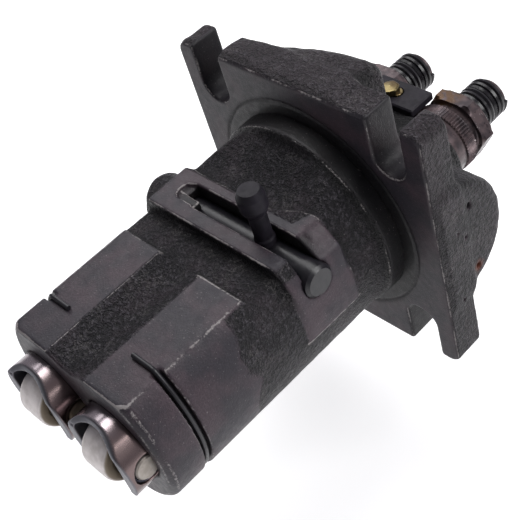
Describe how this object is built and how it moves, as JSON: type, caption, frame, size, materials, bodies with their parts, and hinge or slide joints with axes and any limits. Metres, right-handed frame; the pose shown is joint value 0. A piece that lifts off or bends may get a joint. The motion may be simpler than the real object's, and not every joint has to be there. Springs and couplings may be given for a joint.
{
  "type": "diesel injection pump",
  "caption": "Flange-mounted in-line diesel injection pump with roller tappets, a sliding control rack and threaded fuel outlets held by serrated delivery valve holders.",
  "frame": {"origin": "centre of the pilot spigot, in the plane of the mounting face", "axes": "+Y along the plungers towards the fuel outlets, +X across the cylinders, +Z to the rack side"},
  "size_m": [0.0861, 0.1528, 0.0824],
  "materials": {
    "housing_iron": "phosphated",
    "tappet_steel": "ground",
    "roller_steel": "satin",
    "bush_bronze": "oiled",
    "pin_steel": "ground",
    "dark_steel": "oil blackened",
    "spring_steel": "drawn",
    "rack_steel": "turned",
    "holder_steel": "bronzed",
    "lapped_steel": "lapped",
    "gasket_copper": "plain",
    "o_ring_rubber": "plain",
    "plate_steel": "phosphated",
    "screw_brass": "plated"
  },
  "bodies": {
    "housing": {"pump_housing": "housing_iron", "upper_spring_seat_1": "dark_steel", "upper_spring_seat_2": "dark_steel", "pump_barrel_1": "lapped_steel", "pump_barrel_2": "lapped_steel", "valve_seat_1": "lapped_steel", "valve_seat_2": "lapped_steel", "valve_gasket_1": "gasket_copper", "valve_gasket_2": "gasket_copper", "valve_spring_1": "spring_steel", "valve_spring_2": "spring_steel", "valve_holder_1": "holder_steel", "valve_holder_2": "holder_steel", "holder_o_ring_1": "o_ring_rubber", "holder_o_ring_2": "o_ring_rubber", "tappet_guide_pins": "pin_steel", "barrel_locating_pins": "pin_steel", "guide_pin_clip": "spring_steel", "lock_plate": "plate_steel", "lock_plate_screw": "screw_brass"},
    "rack": {"control_rack": "rack_steel", "rack_pin": "rack_steel"},
    "tappet_1": {"tappet_body_1": "tappet_steel", "roller_pin_1": "pin_steel", "timing_shim_1": "lapped_steel", "lower_spring_seat_1": "dark_steel", "plunger_spring_1": "spring_steel"},
    "roller_1": {"tappet_roller_1": "roller_steel", "roller_bush_1": "bush_bronze"},
    "plunger_1": {"plunger_1": "lapped_steel"},
    "sleeve_1": {"control_sleeve_1": "dark_steel"},
    "delivery_valve_1": {"delivery_valve_1": "lapped_steel"},
    "tappet_2": {"tappet_body_2": "tappet_steel", "roller_pin_2": "pin_steel", "timing_shim_2": "lapped_steel", "lower_spring_seat_2": "dark_steel", "plunger_spring_2": "spring_steel"},
    "roller_2": {"tappet_roller_2": "roller_steel", "roller_bush_2": "bush_bronze"},
    "plunger_2": {"plunger_2": "lapped_steel"},
    "sleeve_2": {"control_sleeve_2": "dark_steel"},
    "delivery_valve_2": {"delivery_valve_2": "lapped_steel"}
  },
  "joints": [
    {"name": "tappet_1_lift", "type": "slide", "parent": "housing", "child": "tappet_1", "axis": [0, 1, 0], "range_m": [0, 0.007], "stiffness_N_per_m": 8000, "springref_m": -0.005, "deforming": ["plunger_spring_1"]},
    {"name": "roller_1_spin", "type": "hinge", "parent": "tappet_1", "child": "roller_1", "pos_m": [0.0132, -0.0855, 0], "axis": [1, 0, 0], "continuous": true},
    {"name": "delivery_valve_1_lift", "type": "slide", "parent": "housing", "child": "delivery_valve_1", "axis": [0, 1, 0], "range_m": [0, 0.0015], "stiffness_N_per_m": 3000, "springref_m": -0.002, "deforming": ["valve_spring_1"]},
    {"name": "sleeve_1_turn", "type": "hinge", "parent": "housing", "child": "sleeve_1", "pos_m": [0.0132, -0.0275, 0], "axis": [0, 1, 0], "range_deg": [-33, 33]},
    {"name": "plunger_1_stroke", "type": "slide", "parent": "sleeve_1", "child": "plunger_1", "axis": [0, 1, 0], "range_m": [0, 0.007]},
    {"name": "tappet_2_lift", "type": "slide", "parent": "housing", "child": "tappet_2", "axis": [0, 1, 0], "range_m": [0, 0.007], "stiffness_N_per_m": 8000, "springref_m": -0.005, "deforming": ["plunger_spring_2"]},
    {"name": "roller_2_spin", "type": "hinge", "parent": "tappet_2", "child": "roller_2", "pos_m": [-0.0132, -0.0855, 0], "axis": [1, 0, 0], "continuous": true},
    {"name": "delivery_valve_2_lift", "type": "slide", "parent": "housing", "child": "delivery_valve_2", "axis": [0, 1, 0], "range_m": [0, 0.0015], "stiffness_N_per_m": 3000, "springref_m": -0.002, "deforming": ["valve_spring_2"]},
    {"name": "sleeve_2_turn", "type": "hinge", "parent": "housing", "child": "sleeve_2", "pos_m": [-0.0132, -0.0275, 0], "axis": [0, 1, 0], "range_deg": [-33, 33]},
    {"name": "plunger_2_stroke", "type": "slide", "parent": "sleeve_2", "child": "plunger_2", "axis": [0, 1, 0], "range_m": [0, 0.007]},
    {"name": "rack_slide", "type": "slide", "parent": "housing", "child": "rack", "axis": [1, 0, 0], "range_m": [-0.0045, 0.0045]}
  ],
  "couplings": [
    {"joint": "sleeve_1_turn", "follows": "rack_slide", "rad_per_m": 125},
    {"joint": "plunger_1_stroke", "follows": "tappet_1_lift", "ratio": 1},
    {"joint": "sleeve_2_turn", "follows": "rack_slide", "rad_per_m": 125},
    {"joint": "plunger_2_stroke", "follows": "tappet_2_lift", "ratio": 1}
  ]
}
